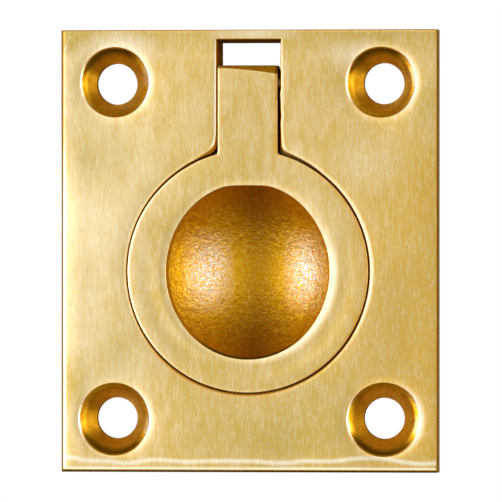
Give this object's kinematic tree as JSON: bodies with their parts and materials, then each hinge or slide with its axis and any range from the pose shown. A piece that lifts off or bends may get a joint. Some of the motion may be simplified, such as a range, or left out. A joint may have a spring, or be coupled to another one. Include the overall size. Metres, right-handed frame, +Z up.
{
  "type": "flush ring pull",
  "caption": "Rectangular flush ring pull: countersunk backplate with a finger bowl and a hinged ring that lies level with its face.",
  "frame": {"origin": "middle of the four screw holes, on the back of the flange, the plane that seats on the wood", "axes": "+X to the right seen from the front, +Z up towards the hinge, -Y out of the front face"},
  "size_m": [0.0382, 0.0092, 0.0444],
  "materials": {
    "plate_brass": "satin linished face, as-cast bowl and back",
    "ring_brass": "satin linished",
    "pin_brass": "drawn wire"
  },
  "bodies": {
    "plate_body": {"backplate": "plate_brass", "hinge_pin": "pin_brass"},
    "ring_body": {"pull_ring": "ring_brass"}
  },
  "joints": [
    {"name": "ring_lift", "type": "hinge", "parent": "plate_body", "child": "ring_body", "pos_m": [0, -0.001, 0.0169], "axis": [-1, 0, 0], "range_deg": [0, 142]}
  ]
}
